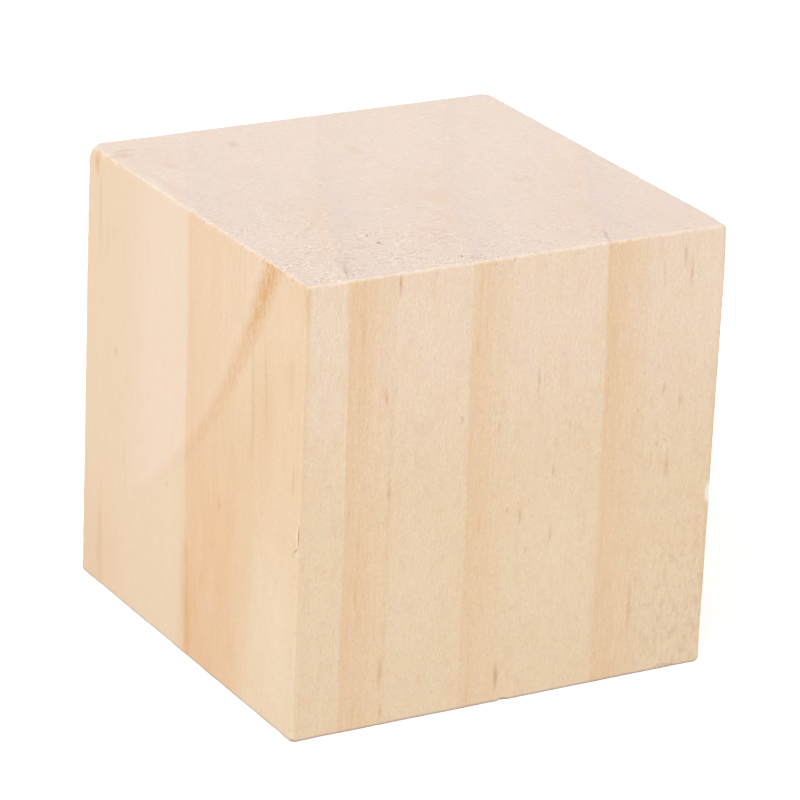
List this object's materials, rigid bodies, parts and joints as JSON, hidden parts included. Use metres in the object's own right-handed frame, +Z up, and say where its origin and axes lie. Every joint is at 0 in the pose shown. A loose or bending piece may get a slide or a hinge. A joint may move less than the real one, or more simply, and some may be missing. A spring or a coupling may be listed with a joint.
{
  "type": "wooden cube",
  "caption": "Solid cube of straight-grained pale softwood with eased arrises, lightly knocked corners and a small chip in one upright edge.",
  "frame": {"origin": "middle of the underside, on the surface that the cube stands on", "axes": "+Z up and along the grain, -Y towards the front side, -X towards the left-hand side"},
  "size_m": [0.05, 0.05, 0.05],
  "materials": {
    "softwood": "matte"
  },
  "bodies": {
    "root": {"block": "softwood"}
  },
  "joints": []
}
